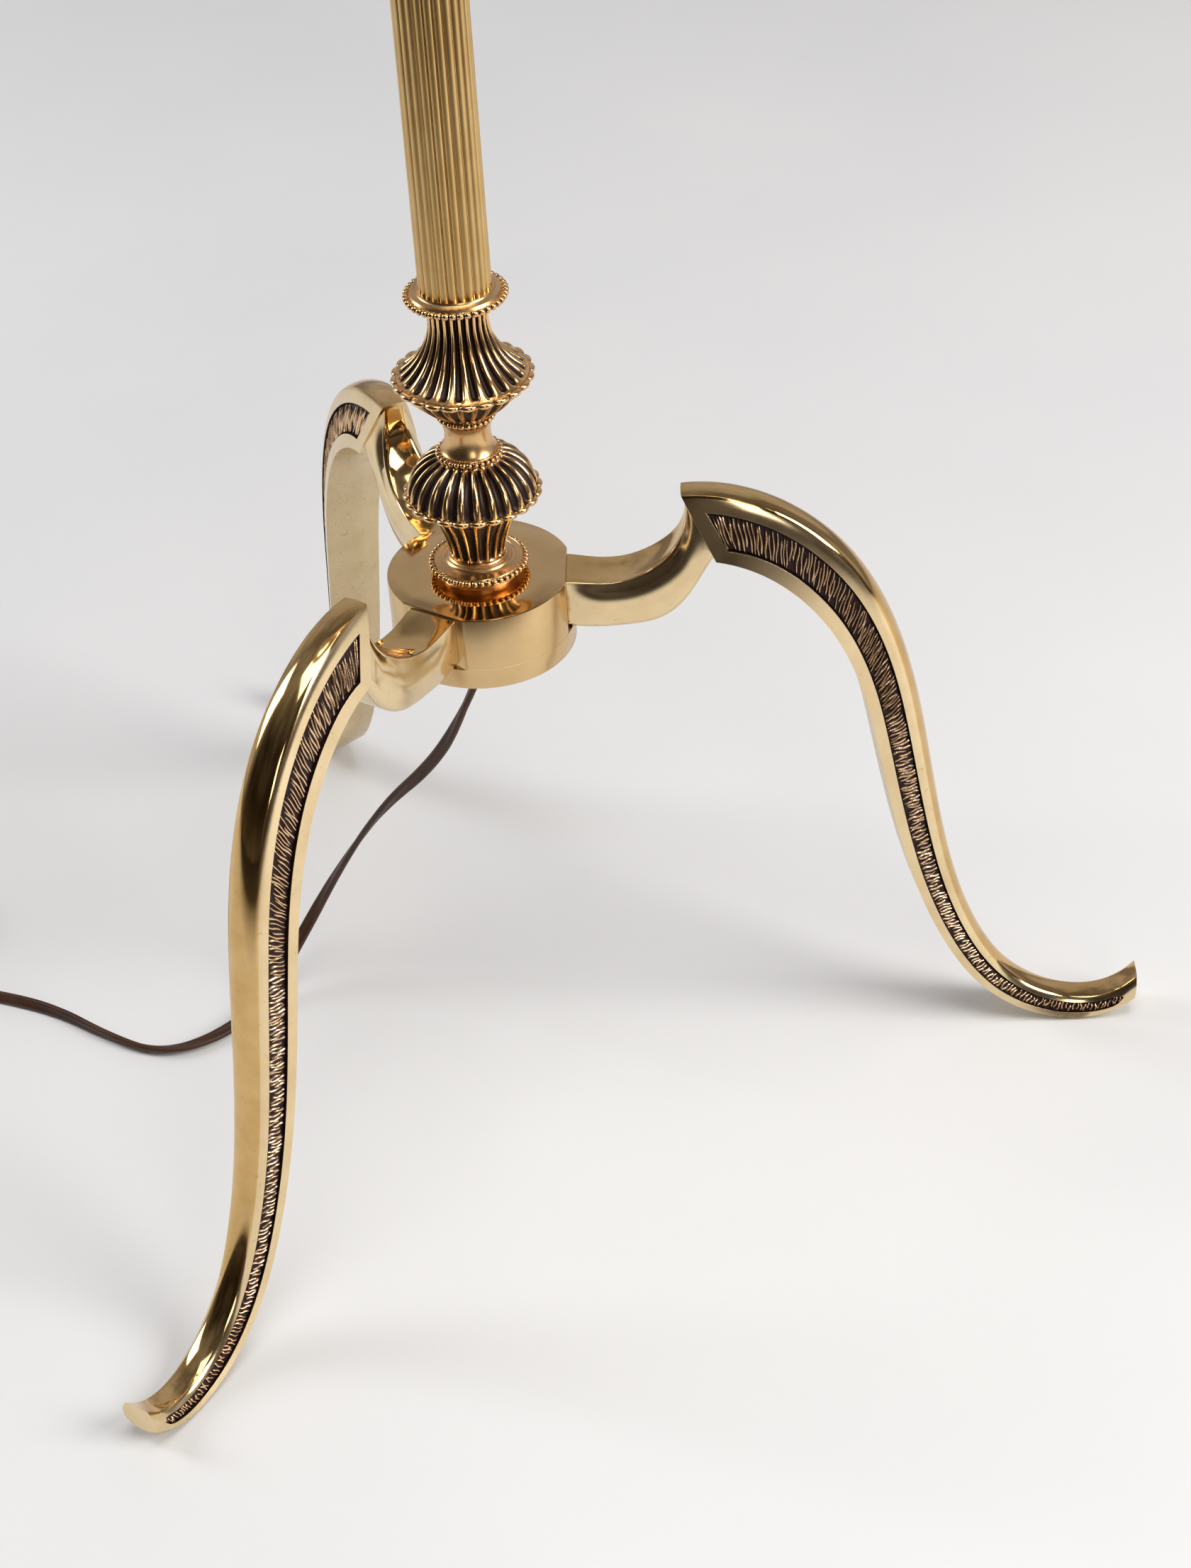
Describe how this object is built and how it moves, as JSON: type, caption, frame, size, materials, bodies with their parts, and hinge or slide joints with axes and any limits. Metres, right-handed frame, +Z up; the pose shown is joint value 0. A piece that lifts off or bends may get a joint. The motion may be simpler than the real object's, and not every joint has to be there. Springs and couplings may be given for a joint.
{
  "type": "tripod floor lamp",
  "caption": "Brass floor lamp with cast cabriole legs on a round hub, a beaded and fluted base stack, a reeded column, a cone shade and a flat cord.",
  "frame": {"origin": "on the floor, on the column's axis", "axes": "+Z up along the column, +X towards the leg on the right, +Y towards the back"},
  "size_m": [0.6442, 0.5042, 1.4717],
  "materials": {
    "cast_brass": "satin",
    "turned_brass": "polished",
    "column_brass": "satin",
    "plated_steel": "satin",
    "brassed_steel": "polished",
    "insulator": "matte",
    "liner": "matte",
    "contact": "polished",
    "cord_pvc": "glossy",
    "bulb_metal": "satin",
    "bulb_glass": "frosted",
    "shade_fabric": "woven"
  },
  "bodies": {
    "lamp": {"hub": "cast_brass", "leg_right": "cast_brass", "leg_back": "cast_brass", "leg_front_left": "cast_brass", "leg_bolts": "plated_steel", "base_plate": "turned_brass", "stem": "turned_brass", "dome": "turned_brass", "spool": "turned_brass", "cup": "turned_brass", "bell": "turned_brass", "lower_collar": "turned_brass", "column": "column_brass", "lamp_pipe": "plated_steel", "hub_washer": "plated_steel", "hub_nut": "plated_steel", "hub_cover": "brassed_steel", "upper_collar": "turned_brass", "vase": "turned_brass", "neck": "turned_brass", "harp_saddle": "brassed_steel", "harp": "brassed_steel", "harp_sleeves": "brassed_steel", "harp_crown": "brassed_steel", "socket_cap": "brassed_steel", "socket_shell": "brassed_steel", "socket_liner": "liner", "socket_core": "insulator", "screw_shell": "contact", "centre_contact": "contact", "inner_cord": "cord_pvc", "strain_relief": "cord_pvc", "cord": "cord_pvc", "cord_coil": "cord_pvc", "cord_tail": "cord_pvc", "plug_body": "cord_pvc", "plug_blades": "contact"},
    "switch": {"switch_shaft": "contact", "switch_knob": "insulator"},
    "bulb": {"bulb_base": "bulb_metal", "bulb_glass": "bulb_glass"},
    "shade": {"shade_cover": "shade_fabric", "shade_spider": "brassed_steel", "shade_bottom_ring": "brassed_steel"},
    "finial": {"finial": "turned_brass"}
  },
  "joints": [
    {"name": "switch_turn", "type": "hinge", "parent": "lamp", "child": "switch", "pos_m": [0, -0.03, 1.24], "axis": [0, -1, 0], "continuous": true},
    {"name": "bulb_thread", "type": "hinge", "parent": "lamp", "child": "bulb", "pos_m": [0, 0, 1.3], "axis": [0, 0, 1], "continuous": true},
    {"name": "shade_turn", "type": "hinge", "parent": "lamp", "child": "shade", "pos_m": [0, 0, 1.435], "axis": [0, 0, 1], "continuous": true},
    {"name": "finial_thread", "type": "hinge", "parent": "lamp", "child": "finial", "pos_m": [0, 0, 1.45], "axis": [0, 0, 1], "continuous": true}
  ]
}
